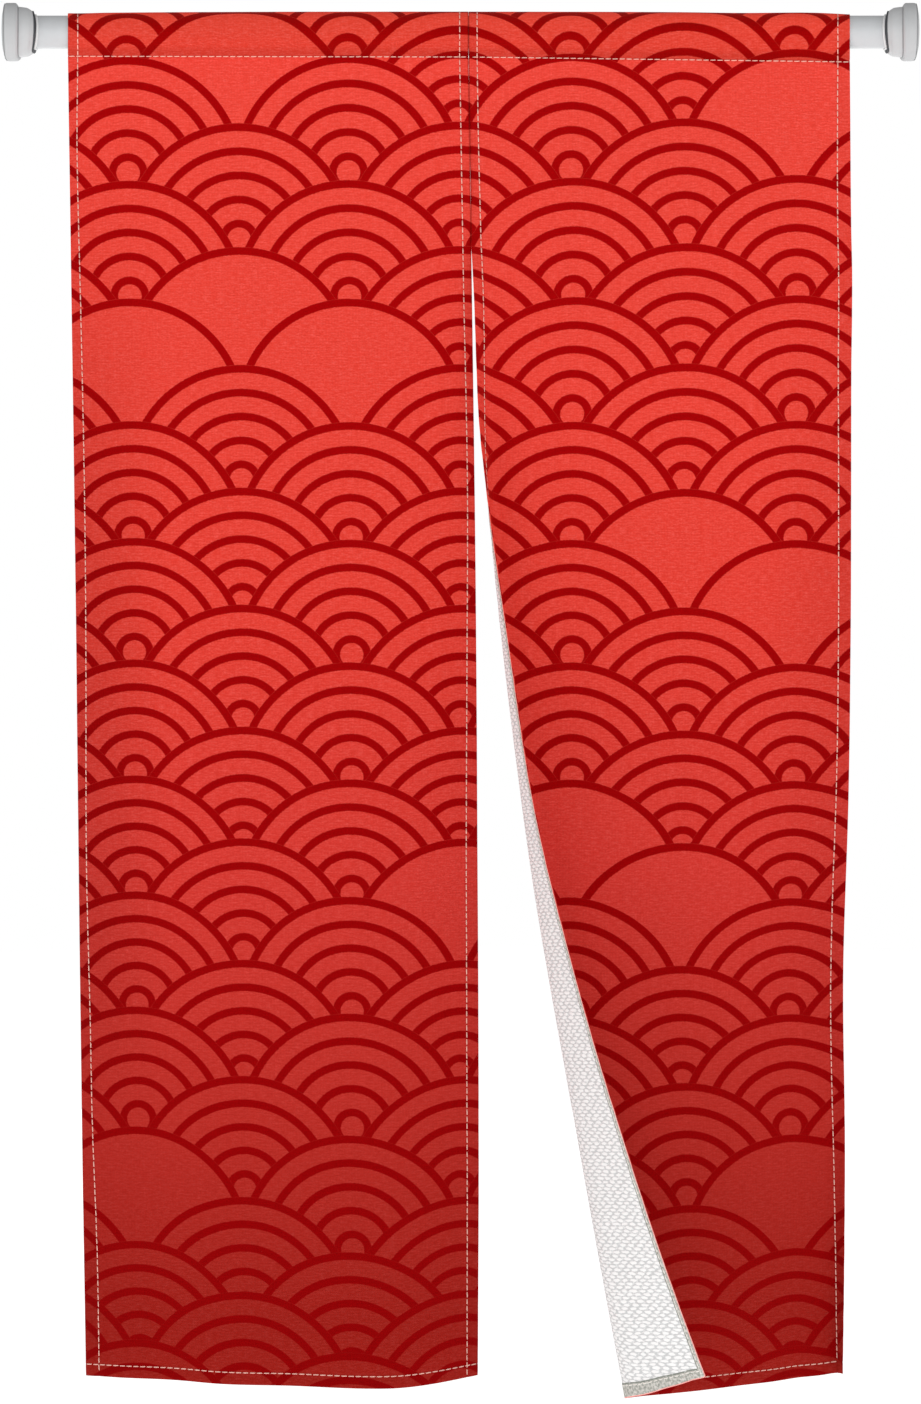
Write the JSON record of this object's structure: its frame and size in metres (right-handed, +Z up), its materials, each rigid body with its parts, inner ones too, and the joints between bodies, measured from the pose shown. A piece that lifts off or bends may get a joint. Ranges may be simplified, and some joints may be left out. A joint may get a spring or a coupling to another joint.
{
  "type": "noren curtain on a tension rod",
  "caption": "Split doorway curtain of hemmed cloth with a traditional wave print, hung by its top sleeve on a wall-to-wall tension rod, the slit edge of one panel curled forward.",
  "frame": {"origin": "middle of the left foot's flat outer face, where the rod presses on the left wall", "axes": "+X along the rod to the right wall, +Z up, -Y towards the viewer, so the printed face looks along -Y"},
  "size_m": [0.995, 0.2267, 1.494],
  "materials": {
    "printed_cloth": "matt slub linen-look weave, printed on the face and white behind",
    "stitch_thread": "matt sewing thread",
    "rod_coat": "satin white coat",
    "foot_rubber": "matt, light grey",
    "cap_plastic": "satin moulded, light grey",
    "ring_rubber": "satin, dark grey",
    "collar_plastic": "satin white"
  },
  "bodies": {
    "root": {"rod": "rod_coat", "left_foot": "foot_rubber", "right_foot": "foot_rubber", "left_cap": "cap_plastic", "right_cap": "cap_plastic", "left_ring": "ring_rubber", "right_ring": "ring_rubber", "left_collar": "collar_plastic", "right_collar": "collar_plastic", "left_panel": "printed_cloth", "right_panel": "printed_cloth"}
  },
  "joints": []
}
